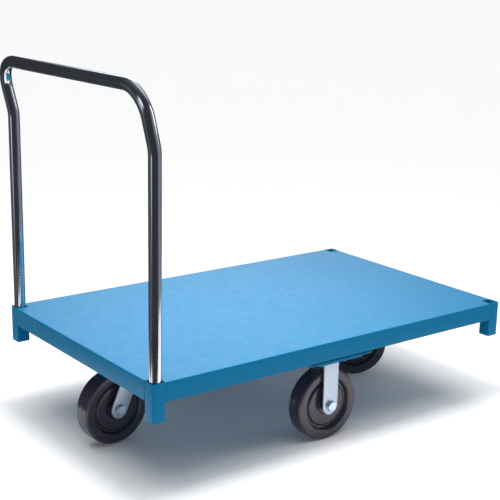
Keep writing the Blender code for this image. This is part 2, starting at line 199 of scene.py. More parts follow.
def strip(sections):
    """A bent plate with rounded edges, from sections (centre, normal, low x, high x, half thickness)."""
    rings = []
    for centre, normal, low, high, half in sections:
        middle, reach = (low + high) / 2, (high - low) / 2
        edge = min(0.8 * MM, reach * 0.9)
        outline = rounded_rectangle(reach, half, min(edge, half * 0.9), 3)
        rings.append([Vector(centre) + Vector((middle + u, 0, 0)) + Vector(normal) * v for u, v in outline])
    return loft(rings)


def plate(name, outlines, low, high, edge, **how):
    """Flat plate with rounded edges. The first outline is the rim and the others are holes."""
    curve = bpy.data.curves.new(name + "_outline", "CURVE")
    curve.dimensions = "2D"
    curve.fill_mode = "BOTH"
    curve.extrude = (high - low) / 2 - edge
    curve.bevel_depth = edge
    curve.bevel_resolution = 1
    curve.offset = -edge
    for outline in outlines:
        spline = curve.splines.new("POLY")
        spline.points.add(len(outline) - 1)
        spline.use_cyclic_u = True
        for point, (x, y) in zip(spline.points, outline):
            point.co = (x, y, 0, 1)
    carrier = bpy.data.objects.new(name + "_carrier", curve)
    bpy.context.scene.collection.objects.link(carrier)
    bpy.context.view_layer.update()
    mesh = bpy.data.meshes.new_from_object(carrier.evaluated_get(bpy.context.evaluated_depsgraph_get()))
    bpy.data.objects.remove(carrier)
    form = bmesh.new()
    form.from_mesh(mesh)
    bpy.data.meshes.remove(mesh)
    bmesh.ops.remove_doubles(form, verts=form.verts, dist=0.01 * MM)
    bmesh.ops.translate(form, verts=form.verts, vec=(0, 0, (low + high) / 2))
    return add(name, form, **how)


def soften(node, width, material):
    """A copy of a CAD node with its sharp edges rounded."""
    source = frame["nodes"][node]
    piece = bpy.data.objects.new(node + "_soft", source.data.copy())
    bpy.context.scene.collection.objects.link(piece)
    piece.data.materials.clear()
    form = bmesh.new()
    form.from_mesh(piece.data)
    bmesh.ops.remove_doubles(form, verts=form.verts, dist=0.01 * MM)
    bmesh.ops.dissolve_limit(form, angle_limit=math.radians(1), verts=form.verts, edges=form.edges)
    form.to_mesh(piece.data)
    form.free()
    bevel(piece, width)
    piece.data.materials.append(material)
    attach(piece, source["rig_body"])
    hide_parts(node)
    return piece


# --- Materials -------------------------------------------------------------------------------

class Finish:
    """A Principled material and short calls to build its nodes."""

    def __init__(self, name, roughness=0.4, metallic=0.0, ior=1.5):
        self.material = bpy.data.materials.new(name)
        self.material.use_nodes = True
        self.tree = self.material.node_tree
        self.shader = self.tree.nodes["Principled BSDF"]
        self.set(self.shader, "Roughness", roughness)
        self.set(self.shader, "Metallic", metallic)
        self.set(self.shader, "IOR", ior)
        self.place = self.node("TexCoord").outputs["Object"]

    def node(self, kind, **settings):
        made = self.tree.nodes.new("ShaderNode" + kind)
        for key, value in settings.items():
            setattr(made, key, value)
        return made

    def set(self, node, socket, value):
        if isinstance(value, bpy.types.NodeSocket):
            self.tree.links.new(value, node.inputs[socket])
        else:
            node.inputs[socket].default_value = value

    def stretched(self, scale):
        """Object coordinates times a scale per axis."""
        mapping = self.node("Mapping")
        self.set(mapping, "Vector", self.place)
        self.set(mapping, "Scale", scale)
        return mapping.outputs["Vector"]

    def noise(self, scale, detail=2.0, rough=0.5, where=None):
        made = self.node("TexNoise")
        self.set(made, "Vector", where or self.place)
        self.set(made, "Scale", scale)
        self.set(made, "Detail", detail)
        self.set(made, "Roughness", rough)
        return made.outputs["Fac"]

    def spread(self, value, low, high, start=0.3, end=0.7):
        """Map a value's middle range to low and high."""
        made = self.node("MapRange")
        self.set(made, "Value", value)
        for socket, number in (("From Min", start), ("From Max", end), ("To Min", low), ("To Max", high)):
            self.set(made, socket, number)
        return made.outputs["Result"]

    def maths(self, operation, first, second=0.0):
        made = self.node("Math", operation=operation)
        self.set(made, 0, first)
        self.set(made, 1, second)
        return made.outputs["Value"]

    def mix(self, factor, first, second):
        made = self.node("Mix", data_type="RGBA")
        self.set(made, "Factor", factor)
        for socket, colour in ((6, first), (7, second)):
            self.set(made, socket, (*colour, 1) if isinstance(colour, tuple) else colour)
        return made.outputs[2]

    def bump(self, height, distance, strength=1.0, normal=None):
        made = self.node("Bump")
        self.set(made, "Height", height)
        self.set(made, "Distance", distance)
        self.set(made, "Strength", strength)
        if normal:
            self.set(made, "Normal", normal)
        return made.outputs["Normal"]

    def edges(self, radius):
        """0 on flats and up to 1 on corners tighter than this radius."""
        rounded = self.node("Bevel", samples=4)
        self.set(rounded, "Radius", radius)
        facing = self.node("VectorMath", operation="DOT_PRODUCT")
        self.set(facing, 0, rounded.outputs["Normal"])
        self.set(facing, 1, self.node("NewGeometry").outputs["Normal"])
        return self.spread(facing.outputs["Value"], 1.0, 0.0, 0.80, 0.99)

    def finish(self, **sockets):
        for socket, value in sockets.items():
            self.set(self.shader, socket.replace("_", " "), value)
        return self.material


def blue_paint():
    """Glossy baked enamel: faint orange peel, uneven gloss, rougher on edges, and a lighter colour on edges
    that is a painted edge highlight.
    """
    paint = Finish("blue_enamel", ior=1.14)
    peel = paint.noise(420, 2.0)
    mottle = paint.noise(2.6, 3.0)
    grain = paint.noise(38, 5.0, 0.6)
    colour = paint.mix(paint.spread(mottle, 0, 1), (0.0012, 0.131, 0.268), (0.0015, 0.136, 0.278))
    colour = paint.mix(paint.spread(grain, 0, 0.10), colour, (0.0024, 0.158, 0.314))
    edge = paint.edges(1.6 * MM)
    # Painted edge highlight: the colour turns lighter where the edge mask is high; the same mask also makes
    # the edges rougher.
    colour = paint.mix(paint.maths("MULTIPLY", edge, 0.35), colour, (0.016, 0.205, 0.390))
    gloss = paint.maths("ADD", paint.spread(grain, 0.20, 0.31), paint.maths("MULTIPLY", edge, 0.08))
    normal = paint.bump(peel, 0.05 * MM, 0.55)
    return paint.finish(Base_Color=colour, Roughness=gloss, Normal=normal,
                        Sheen_Weight=0.18, Sheen_Roughness=0.35)


def chrome():
    """Bright chrome on drawn tube: fine polishing lines along it, faint haze."""
    plating = Finish("chrome_plate", metallic=1.0, roughness=0.1)
    lines = plating.noise(1.0, 3.0, 0.6, plating.stretched((1400, 1400, 22)))
    haze = plating.noise(9, 4.0)
    colour = plating.mix(plating.spread(haze, 0, 1), (0.60, 0.60, 0.63), (0.66, 0.665, 0.70))
    rough = plating.maths("ADD", plating.spread(haze, 0.07, 0.13), plating.spread(lines, 0.0, 0.05))
    normal = plating.bump(lines, 0.008 * MM, 0.35)
    return plating.finish(Base_Color=colour, Roughness=rough, Normal=normal)


def zinc(name, tint=1.0, metallic=0.85, gloss=0.30):
    """Bright zinc plate: cloudy gloss, fine rolling lines, and paler edges that are a painted edge highlight.
    """
    plating = Finish(name, metallic=metallic, roughness=0.4)
    cloud = plating.noise(26, 5.0, 0.62)
    lines = plating.noise(1.0, 2.0, 0.5, plating.stretched((1500, 1500, 90)))
    speck = plating.noise(900, 1.0)
    light = (0.49 * tint, 0.56 * tint, 0.65 * tint)
    dark = (0.40 * tint, 0.47 * tint, 0.56 * tint)
    colour = plating.mix(plating.spread(cloud, 0, 1), dark, light)
    edge = plating.edges(0.8 * MM)
    # Painted edge highlight: the colour turns paler towards near-white on edges.
    colour = plating.mix(plating.maths("MULTIPLY", edge, 0.4), colour, (0.80, 0.85, 0.90))
    rough = plating.maths("ADD", plating.spread(cloud, gloss, gloss + 0.15), plating.spread(lines, 0, 0.08))
    normal = plating.bump(speck, 0.02 * MM, 0.35, plating.bump(lines, 0.01 * MM, 0.4))
    return plating.finish(Base_Color=colour, Roughness=rough, Normal=normal)


def phenolic():
    """Moulded black phenolic: faint fibre fleck, turning rings, satin gloss."""
    resin = Finish("black_phenolic", roughness=0.3, ior=1.52)
    fleck = resin.noise(240, 4.0, 0.7)
    cloud = resin.noise(14, 3.0)
    rings = resin.node("TexWave", wave_type="RINGS", rings_direction="Y")
    resin.set(rings, "Vector", resin.place)
    resin.set(rings, "Scale", 130.0)
    resin.set(rings, "Distortion", 0.6)
    amount = resin.spread(fleck, 0, 1, 0.45, 0.75)
    colour = resin.mix(amount, (0.0225, 0.0205, 0.0325), (0.0440, 0.0410, 0.0620))
    rough = resin.maths("ADD", resin.spread(cloud, 0.12, 0.22), resin.spread(fleck, 0.0, 0.06))
    normal = resin.bump(fleck, 0.04 * MM, 0.35, resin.bump(rings.outputs["Fac"], 0.012 * MM, 0.35))
    return resin.finish(Base_Color=colour, Roughness=rough, Normal=normal)


def machined():
    """Plain turned steel with a film of oil."""
    steel = Finish("turned_steel", metallic=1.0, roughness=0.35)
    film = steel.noise(60, 4.0)
    lines = steel.noise(1.0, 2.0, 0.5, steel.stretched((900, 4000, 900)))
    colour = steel.mix(steel.spread(film, 0, 1), (0.30, 0.30, 0.30), (0.46, 0.45, 0.43))
    normal = steel.bump(lines, 0.01 * MM, 0.4)
    return steel.finish(Base_Color=colour, Roughness=steel.spread(film, 0.24, 0.42), Normal=normal)


PAINT = blue_paint()
CHROME = chrome()
ZINC = zinc("zinc_plate")
FASTENER = zinc("zinc_fastener", 1.2, 0.9, 0.22)
RESIN = phenolic()
STEEL = machined()


# --- Deck, rails and posts -------------------------------------------------------------------

def deck():
    """Deck sheet: notched corners, rounded outer edges."""
    notch = POST_SIDE + SEAM
    outline = []
    for sx, sy in ((-1, -1), (1, -1), (1, 1), (-1, 1)):
        x = END_X if sx < 0 else FAR_X
        y = sy * HALF_WIDTH
        corner = [(x, y - sy * notch), (x - sx * notch, y - sy * notch), (x - sx * notch, y)]
        outline += corner if sx * sy > 0 else list(reversed(corner))
    form = prism(outline, SHEET_UNDER, DECK_TOP)
    bmesh.ops.recalc_face_normals(form, faces=form.faces)
    rim = [edge for edge in form.edges if all(abs(v.co.z - DECK_TOP) < 1e-5 for v in edge.verts) and (
        all(abs(v.co.y) > HALF_WIDTH - 1e-4 for v in edge.verts)
        or all(v.co.x < END_X + 1e-4 for v in edge.verts) or all(v.co.x > FAR_X - 1e-4 for v in edge.verts))]
    bmesh.ops.bevel(form, geom=rim, offset=2.4 * MM, segments=6, affect="EDGES", profile=0.5)
    piece = add("deck_sheet_panel", form, "frame", "blue_paint", PAINT, ["deck_sheet"], 20)
    piece.modifiers.new("normals", "WEIGHTED_NORMAL").keep_sharp = True
    return piece


def rail_section():
    """Rounded angle section as (inward, height) points."""
    low, top, leg = RAIL_LOW.z, RAIL_HIGH.z, RAIL_HIGH.y - RAIL_LOW.y
    points = [(0, low), (WALL, low), (WALL, top - WALL), (leg, top - WALL), (leg, top), (0, top)]
    radii = [1.0 * MM, 0.8 * MM, 3.0 * MM, 1.0 * MM, 0.6 * MM, 0.4 * MM]
    return fillet(points, radii)


def rails():
    for node, side in (("side_rail_near", -1), ("side_rail_far", 1)):
        low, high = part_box(node)
        outline = [(side * (HALF_WIDTH - depth), z) for depth, z in rail_section()]
        add(node + "_angle", prism(outline, low.x, high.x, "X"), "frame", "blue_paint", PAINT, [node], 20)
    for node, face, inward in (("end_rail_handle", END_X, 1), ("end_rail_front", FAR_X, -1)):
        low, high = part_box(node)
        outline = [(face + inward * depth, z) for depth, z in rail_section()]
        add(node + "_angle", prism(outline, low.y, high.y, "Y"), "frame", "blue_paint", PAINT, [node], 20)


CORNERS = [(end + "_" + side, sx, sy) for end, sx in (("handle", -1), ("front", 1))
           for side, sy in (("near", -1), ("far", 1))]
POST_ROUND = 4.5 * MM
POST_WALL = 2.1 * MM
BEAD_R = 2.1 * MM
BEAD_RIPPLE = 2.4 * MM


def corner_centre(sx, sy):
    x = END_X + POST_SIDE / 2 if sx < 0 else FAR_X - POST_SIDE / 2
    return x, sy * (HALF_WIDTH - POST_SIDE / 2)


def posts():
    """Square tube with rounded rims at both ends."""
    low, top = POST_LOW.z, POST_HIGH.z
    outer, inner, rim = POST_SIDE / 2, POST_SIDE / 2 - POST_WALL, 0.6 * MM
    half_round = [(0.0, 1.0), (0.12, 0.5), (0.5, 0.12), (1.0, 0.0)]
    levels = [(outer - rim * a, low + rim * b) for a, b in reversed(half_round)]
    levels += [(outer - rim * a, top - rim * b) for a, b in half_round]
    levels += [(inner + rim * a, top - rim * b) for a, b in reversed(half_round)]
    levels += [(inner + rim * a, low + rim * b) for a, b in half_round]
    for name, sx, sy in CORNERS:
        x, y = corner_centre(sx, sy)
        rings = []
        for half, z in levels:
            corner = POST_ROUND - (outer - half)
            rings.append([(x + u, y + v, z) for u, v in rounded_rectangle(half, half, corner, 8)])
        node = "corner_post_" + name
        add(node + "_tube", loft(rings, closed=True), "frame", "blue_paint", PAINT, [node], 40)


def bead(name, start, end):
    """A painted weld bead: a round bar with overlapping ripples, tapered at both ends."""
    start, end = Vector(start), Vector(end)
    along = (end - start).normalized()
    side = along.orthogonal().normalized()
    across = along.cross(side)
    count = max(8, int((end - start).length / BEAD_RIPPLE) * 3)
    rings = []
    for i in range(count + 1):
        t = i / count
        swell = 0.86 + 0.14 * abs(math.sin(math.pi * (i % 3) / 3 + 0.4))
        taper = min(1.0, 6 * t + 0.25, 6 * (1 - t) + 0.25)
        centre = start.lerp(end, t)
        rings.append([centre + (side * u + across * v) for u, v in circle(BEAD_R * swell * taper, 10)])
    add(name, loft(rings), "frame", "blue_paint", PAINT, (), 60)


def post_welds():
    """Vertical beads in the grooves between the posts' round corners and the rails' ends."""
    low, top = RAIL_LOW.z + 2 * MM, DECK_TOP - 4 * MM
    depth, shift = 2.6 * MM, 0.9 * MM
    for name, sx, sy in CORNERS:
        x, y = corner_centre(sx, sy)
        edge_x = x - sx * (POST_SIDE / 2 - shift)
        face_y = y + sy * (POST_SIDE / 2 - depth)
        bead("weld_side_" + name, (edge_x, face_y, low), (edge_x, face_y, top))
        edge_y = y - sy * (POST_SIDE / 2 - shift)
        face_x = x + sx * (POST_SIDE / 2 - depth)
        bead("weld_end_" + name, (face_x, edge_y, low), (face_x, edge_y, top))


def under_frame():
    """Channels, mounting pads and pocket stops keep their CAD shape, with softer edges."""
    for end in ("rigid", "handle_end", "front_end"):
        soften(end + "_cross_channel", 1.2 * MM, PAINT)
        soften(end + "_mounting_pad", 0.7 * MM, PAINT)
    for side in ("near", "far"):
        soften("pocket_stop_" + side, 0.5 * MM, PAINT)


# --- Handle ----------------------------------------------------------------------------------

TUBE_R = 15.875 * MM
TUBE_WALL = 2.0 * MM
KINK_Z = DECK_TOP + 558 * MM
BAR_Z = DECK_TOP + 703.5 * MM
LEAN = math.radians(13)
KINK_BEND = 130 * MM
CORNER_BEND = 75 * MM


def bend(before, corner, after, radius, steps):
    """Points of the arc that rounds the corner of a centre line."""
    into = (before - corner).normalized()
    out = (after - corner).normalized()
    half = into.angle(out) / 2
    centre = corner + (into + out).normalized() * (radius / math.sin(half))
    start = corner + into * (radius / math.tan(half)) - centre
    axis = into.cross(out).normalized()
    sweep = -(math.pi - 2 * half)
    return [centre + Matrix.Rotation(sweep * i / steps, 3, axis) @ start for i in range(steps + 1)]


def handle():
    """Bent chrome tube, open at its two lower ends, which rest on the stops."""
    leg_x, leg_y = corner_centre(-1, 1)
    bar_x = leg_x - (BAR_Z - KINK_Z) * math.tan(LEAN)
    legs = []
    for y in (-leg_y, leg_y):
        foot = Vector((leg_x, y, TUBE_LOW.z))
        kink = Vector((leg_x, y, KINK_Z))
        top = Vector((bar_x, y, BAR_Z))
        other = Vector((bar_x, -y, BAR_Z))
        run = [foot, foot + Vector((0, 0, 0.8 * MM)), foot + Vector((0, 0, 60 * MM))]
        legs.append(run + bend(foot, kink, top, KINK_BEND, 10) + bend(kink, top, other, CORNER_BEND, 20))
    line = legs[0] + list(reversed(legs[1]))
    last = len(line) - 1
    outer, inner = [], []
    side = Vector((1, 0, 0))
    for i, point in enumerate(line):
        along = (line[min(i + 1, last)] - line[max(i - 1, 0)]).normalized()
        side = (side - along * side.dot(along)).normalized()
        across = along.cross(side)
        rim = 0.5 * MM if i in (0, last) else 0.0
        outer.append([point + side * u + across * v for u, v in circle(TUBE_R - rim, 48)])
        inner.append([point + side * u + across * v for u, v in circle(TUBE_R - TUBE_WALL + rim, 48)])
    form = loft(outer + list(reversed(inner)), closed=True)
    add("handle_tube_bent", form, "handle", "handle_chrome", CHROME, ["handle_tube"], 50)


# --- Fasteners -------------------------------------------------------------------------------

SIDES = 48                        # facets round bolts, nuts and pins


def hexagon(corner):
    """Distance from the centre to the hexagon's edge, at evenly spaced turns."""
    flat = corner * math.cos(math.pi / 6)
    turns = [2 * math.pi * i / SIDES for i in range(SIDES)]
    return [flat / math.cos(turn % (math.pi / 3) - math.pi / 6) for turn in turns]


def hex_rings(corner, low, high, chamfer_low, chamfer_high):
    """Rings of a hexagonal head or nut along +Z, with its corners chamfered where asked."""
    reach = hexagon(corner)
    flat = min(reach) * 0.97
    slope = math.tan(math.radians(28))
    turn = [2 * math.pi * i / SIDES for i in range(SIDES)]

    def ring(radii, heights):
        return [(r * math.cos(t), r * math.sin(t), z) for r, z, t in zip(radii, heights, turn)]

    rings = []
    if chamfer_low:
        rings.append(ring([flat] * SIDES, [low] * SIDES))
    rings.append(ring(reach, [low + (r - flat) * slope * chamfer_low for r in reach]))
    rings.append(ring(reach, [high - (r - flat) * slope * chamfer_high for r in reach]))
    if chamfer_high:
        rings.append(ring([flat] * SIDES, [high] * SIDES))
    return rings


def thread_rings(radius, start, end, pitch):
    """Rings of a threaded shank along +Z, with a chamfered tip at end."""
    step = 1 if end > start else -1
    crests = int(abs(end - start) / pitch)
    rings = []
    for i in range(crests):
        z = start + step * i * pitch
        for share, cut in ((0.0, 1.0), (0.45, 0.90), (0.55, 0.90)):
            rings.append([(x, y, z + step * share * pitch) for x, y in circle(radius * cut, SIDES)])
    rings.append([(x, y, end - step * 0.4 * MM) for x, y in circle(radius, SIDES)])
    rings.append([(x, y, end) for x, y in circle(radius * 0.82, SIDES)])
    return rings


def round_rings(sections):
    """Circles along +Z from (radius, height) sections."""
    return [[(x, y, z) for x, y in circle(r, SIDES)] for r, z in sections]


BOLT_R = 4.76 * MM
BOLT_HEX = 9.0 * MM
AXLE_R = 7.94 * MM
AXLE_HEX = 14.2 * MM


def plate_bolt_mesh(length, nut_high, nut_low):
    """Bolt with its nut, hanging from the head's top at 0."""
    head = 6.5 * MM
    rings = round_rings([(1.0 * MM, 0)])
    rings += list(reversed(hex_rings(BOLT_HEX, -head, 0, 0, 1)))
    washer = -head - 0.1 * MM
    rings += round_rings([(BOLT_HEX * 0.84, washer), (BOLT_R, washer), (BOLT_R, nut_high)])
    rings += list(reversed(hex_rings(BOLT_HEX, nut_low, nut_high, 1, 1)))
    rings += thread_rings(BOLT_R, nut_low, -length, 1.5 * MM)
    form = loft(rings)
    bmesh.ops.recalc_face_normals(form, faces=form.faces)
    mesh = bpy.data.meshes.new("plate_bolt_fine")
    form.to_mesh(mesh)
    form.free()
    mesh.shade_smooth()
    mesh.set_sharp_from_angle(angle=math.radians(25))
    mesh.materials.append(FASTENER)
    return mesh


def plate_bolts():
    meshes = {}
    for node in sorted(frame["nodes"]):
        if "_bolt_" not in node:
            continue
        low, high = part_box(node)
        length = round(high.z - low.z, 5)
        if length not in meshes:
            nut_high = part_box("rigid_near_fork")[1].z - 6.35 * MM - high.z - SEAM
            meshes[length] = plate_bolt_mesh(length, nut_high, nut_high - 6.5 * MM)
        centre = (low + high) / 2
        spin = 37 * (int(node[-1]) + len(node))
        place = Matrix.Translation((centre.x, centre.y, high.z)) @ Matrix.Rotation(math.radians(spin), 4, "Z")
        add_mesh(node + "_hex", meshes[length], "frame", FASTENER, [node], place)


# --- Casters ---------------------------------------------------------------------------------

WHEEL_R = 101.6 * MM
FORK_OUT = 35.2 * MM
FORK_LEG = 4.8 * MM
LEG_HALF = 25.4 * MM
CROWN_TOP = 216.0 * MM
CROWN_R = 44.0 * MM
LEAD = 52.5 * MM
SLEEVE_R = 12.0 * MM
UNDER_PLATE = 234.65              # mm above the floor, where forks, races and pins end


def wheel_half():
    """Half section of the wheel as (radius, half width) points in mm, from the bore to the tread."""
    boss = [(12.3, 26.3), (12.8, 26.5)] + arc((17.6, 25.6), 0.9, 90, 0, 3)
    recess = arc((21.8, 14.0), 2.0, 180, 270, 4) + arc((26.8, 14.0), 2.0, 270, 360, 4)
    web = arc((31.8, 15.4), 2.4, 170, 85, 5) + [(44, 17.9)] + arc((57.0, 11.9), 6.0, 88, 18, 8)
    groove = arc((65.2, 14.0), 2.2, 198, 270, 4) + arc((68.4, 14.0), 2.2, 270, 340, 4)
    rim = arc((79.6, 19.2), 6.0, 168, 92, 8) + [(85, 25.35), (91, 25.4)]
    tread = arc((94.0, 17.8), 7.6, 90, 8, 10) + [(101.45, 9.0), (101.42, 0.8), (101.6, 0.3)]
    return boss + recess + web + groove + rim + tread


def wheel(prefix, body, axle):
    """Moulded wheel and the plain bearing sleeve through it."""
    half = [(r * MM, h * MM) for r, h in wheel_half()]
    profile = [(r, -h) for r, h in half] + [(r, h) for r, h in reversed(half)]
    add(prefix + "_wheel_moulded", turned_y(profile, 128), body, "wheel_phenolic", RESIN,
        [prefix + "_wheel"], 32, axle)
    end, bore, chamfer = 29.0 * MM, AXLE_R + SEAM, 0.6 * MM
    tube = []
    for face, inward in ((-end, chamfer), (end, -chamfer)):
        side = [(bore, face + inward), (bore + chamfer, face)]
        side += [(SLEEVE_R - chamfer, face), (SLEEVE_R, face + inward)]
        tube += side if face < 0 else list(reversed(side))
    add(prefix + "_hub_bush", turned_y(tube, SIDES), body, "bare_steel", STEEL,
        [prefix + "_hub_sleeve"], 32, axle)


def on_axle(form):
    """Lay a form that was built along +Z on the axle, along +Y."""
    lay = Matrix.Rotation(math.radians(-90), 3, "X")
    bmesh.ops.rotate(form, verts=form.verts, cent=(0, 0, 0), matrix=lay)
    return form


def axle_fasteners(prefix, body, axle):
    """Axle bolt with its head on the near side, and a nut with the bolt's end through it."""
    face, thick = FORK_OUT + SEAM, 9.8 * MM
    washer, under = AXLE_HEX * 0.84, 0.9 * MM
    head = round_rings([(1.0 * MM, -face - thick)])
    head += hex_rings(AXLE_HEX, -face - thick, -face - under, 1, 0)
    head += round_rings([(washer, -face - under), (washer, -face), (AXLE_R, -face)])
    shank = thread_rings(AXLE_R, FORK_OUT - 2 * MM, face + thick + 4 * MM, 1.6 * MM)
    add(prefix + "_axle_bolt_hex", on_axle(loft(head + shank)), body, "zinc_fasteners", FASTENER,
        [prefix + "_axle_bolt"], 25, axle)
    nut = hex_rings(AXLE_HEX, face, face + thick, 1, 1)
    bore = AXLE_R + SEAM
    nut += round_rings([(bore + 0.8 * MM, face + thick), (bore, face + thick - 0.8 * MM),
                        (bore, face + 0.8 * MM), (bore + 0.8 * MM, face)])
    add(prefix + "_axle_nut_hex", on_axle(loft(nut, closed=True)), body, "zinc_fasteners", FASTENER,
        [prefix + "_axle_nut"], 25, axle)


def leg_extent(z, lean, foot_x):
    """Left and right x of a fork leg at a height, where the leg leans up from the axle."""
    rise = z - WHEEL_R
    sine, cosine = math.sin(lean), math.cos(lean)
    if rise >= LEG_HALF * sine:
        left = foot_x - LEG_HALF * cosine + (rise - LEG_HALF * sine) * math.tan(lean)
    else:
        left = foot_x - math.sqrt(max(0.0, LEG_HALF ** 2 - rise ** 2))
    if rise >= -LEG_HALF * sine:
        right = foot_x + LEG_HALF * cosine + (rise + LEG_HALF * sine) * math.tan(lean)
    else:
        right = foot_x + math.sqrt(max(0.0, LEG_HALF ** 2 - rise ** 2))
    return left, right


def fork_sections(top, lean, foot_x, crown_half):
    """Sections of a fork pressed from one plate, up one leg, across the crown and down the other."""
    middle = FORK_OUT - FORK_LEG / 2
    thick = FORK_LEG / 2
    turn = 9 * MM
    bend_z = top - thick - turn
    foot = [WHEEL_R - LEG_HALF * math.cos(math.radians(a)) for a in (3, 8, 14, 21, 29, 38, 48, 60, 74, 90)]
    straight = [WHEEL_R + (bend_z - WHEEL_R) * i / 6 for i in range(1, 7)]
    one_leg = [((0, -middle, z), (0, -1, 0), *leg_extent(z, lean, foot_x), thick) for z in foot + straight]
    over = []
    for i in range(1, 9):
        angle = math.radians(90 * i / 8)
        y = -middle + turn - turn * math.cos(angle)
        z = bend_z + turn * math.sin(angle)
        half = crown_half(abs(y))
        left, right = leg_extent(bend_z, lean, foot_x)
        blend = i / 8
        over.append(((0, y, z), (0, -math.cos(angle), math.sin(angle)),
                     left * (1 - blend) - half * blend, right * (1 - blend) + half * blend, thick))
    flat_start = middle - turn
    across = []
    for i in range(1, 7):
        y = -flat_start + flat_start * i / 6
        across.append(((0, y, top - thick), (0, 0, 1), -crown_half(abs(y)), crown_half(abs(y)), thick))
    half_fork = one_leg + over + across
    mirrored = [((0, -spot[1], spot[2]), (0, -normal[1], normal[2]), *extent)
                for spot, normal, *extent in reversed(half_fork[:-1])]
    return half_fork + mirrored


def caster_plate(name, centre, body, replaces=()):
    """Pressed plate with rounded corners and four slots for the plate bolts."""
    low, high = 234.95 * MM, 241.0 * MM
    rim = rounded_rectangle(50.8 * MM, 57.15 * MM, 9 * MM)
    slots = []
    for sx in (-1, 1):
        for sy in (-1, 1):
            hole = rounded_rectangle(5.4 * MM, 7.6 * MM, 5.3 * MM)
            slots.append([(x + sx * 38.1 * MM, y + sy * 38.1 * MM) for x, y in hole])
    return plate(name, [rim] + slots, low, high, 0.7 * MM, body=body, slot="zinc_casters", material=ZINC,
                 replaces=replaces, sharp=25, place=Matrix.Translation((centre.x, centre.y, 0)))


def rigid_caster(side):
    prefix = "rigid_" + side
    joint = JOINTS[prefix + "_spin"]
    axle = Vector(joint["pos_m"])
    ground = Matrix.Translation((axle.x, axle.y, 0))
    sections = fork_sections(UNDER_PLATE * MM, 0.0, 0.0, lambda y: LEG_HALF)
    add(prefix + "_fork_pressed", strip(sections), "frame", "zinc_casters", ZINC,
        [prefix + "_fork"], 30, ground)
    caster_plate(prefix + "_fork_plate", axle, "frame")
    wheel(prefix, joint["child"], Matrix.Translation(axle))
    axle_fasteners(prefix, "frame", Matrix.Translation(axle))


def ball_race(prefix, centre):
    """Two pressed cups with the balls showing in the gap between them."""
    place = Matrix.Translation((centre.x, centre.y, 0))
    low, high = 216.3, UNDER_PLATE
    upper = [(18.2, high), (41.8, high), (42.0, high - 0.4), (42.0, 227.6)]
    upper += [(41.4, 226.9), (38.6, 226.9), (38.6, 231.0), (18.2, 231.0)]
    lower = [(18.2, low), (39.6, low), (40.4, low + 0.8), (40.4, 222.6), (39.8, 223.4), (37.0, 223.4)]
    lower += [(36.6, 220.0), (18.2, 220.0)]
    for name, profile in (("upper", upper), ("lower", lower)):
        form = turned([(r * MM, z * MM) for r, z in profile], 72)
        replaced = [prefix + "_ball_race"] if name == "upper" else ()
        add(prefix + "_race_" + name, form, "frame", "zinc_casters", ZINC, replaced, 30, place)
    balls = bmesh.new()
    for i in range(26):
        angle = 2 * math.pi * i / 26
        spot = Matrix.Translation((34.6 * MM * math.cos(angle), 34.6 * MM * math.sin(angle), 225.4 * MM))
        bmesh.ops.create_icosphere(balls, subdivisions=2, radius=3.9 * MM, matrix=spot)
    add(prefix + "_race_balls", balls, "frame", "bare_steel", STEEL, (), 60, place)


def kingpin(prefix, centre):
    """Forged pin with a collar over the race and a thick nut under the crown."""
    top, under = UNDER_PLATE * MM, 209.7 * MM
    rings = round_rings([(13.4 * MM, top), (14.0 * MM, top - 0.6 * MM), (14.0 * MM, top - 4.4 * MM),
                         (13.4 * MM, top - 5 * MM), (6.35 * MM, top - 5 * MM), (6.35 * MM, under)])
    rings += list(reversed(hex_rings(11.0 * MM, under - 9 * MM, under, 1, 0)))
    add(prefix + "_kingpin_forged", loft(rings), "frame", "bare_steel", STEEL, [prefix + "_kingpin"], 30,
        Matrix.Translation((centre.x, centre.y, 0)))


def swivel_caster(end):
    prefix = end + "_swivel"
    swivel, spin = JOINTS[end + "_swivel"], JOINTS[end + "_spin"]
    centre, axle = Vector(swivel["pos_m"]), Vector(spin["pos_m"])
    yaw = math.atan2(centre.y - axle.y, centre.x - axle.x)
    turn = Matrix.Rotation(yaw, 4, "Z")
    body = swivel["child"]
    lean = math.atan2(LEAD, CROWN_TOP - WHEEL_R)
    sections = fork_sections(CROWN_TOP, lean, -LEAD, lambda y: math.sqrt(CROWN_R ** 2 - min(y, CROWN_R) ** 2))
    add(prefix + "_fork_pressed", strip(sections), body, "zinc_casters", ZINC, [prefix + "_fork"], 30,
        Matrix.Translation((centre.x, centre.y, 0)) @ turn)
    caster_plate(prefix + "_plate_slotted", centre, "frame", replaces=[prefix + "_top_plate"])
    ball_race(prefix, centre)
    kingpin(prefix, centre)
    wheel(prefix, spin["child"], Matrix.Translation(axle) @ turn)
    axle_fasteners(prefix, body, Matrix.Translation(axle) @ turn)


# --- Stage, light and camera -----------------------------------------------------------------

CAMERA_AT = Vector((END_X - 1.3559, -HALF_WIDTH - 2.1554, DECK_TOP + 0.9922))
CAMERA_TURN = math.radians(37.213)
CAMERA_DIP = math.radians(14.508)
CAMERA_ROLL = math.radians(1.131)
CAMERA_LENS = 82.31

# Patches of light in the studio as reflections see it: degrees right of the camera's aim, degrees
# above level, radius at full brightness, radius where it has faded out, and brightness.
SKY_GROUND = 0.045
SKY_PATCHES = (
    (-2, 27, 3, 18, 3.5),         # backdrop glow, seen as haze on the deck
    (36, 50, 5, 40, 0.70),        # high soft box on the right, for the bends
    (-150, 15, 5, 17, 1.5),       # box behind the camera
    (85, -4, 8, 48, 0.26),        # wide panel on the right
    (-126, -4, 3, 13, 1.0),       # narrow panel on the left
    (-100, -12, 5, 40, 0.07),     # its spill
    (0, 80, 10, 60, 0.06),        # ceiling
)
SKY_TINT = (0.90, 0.97, 1.15)

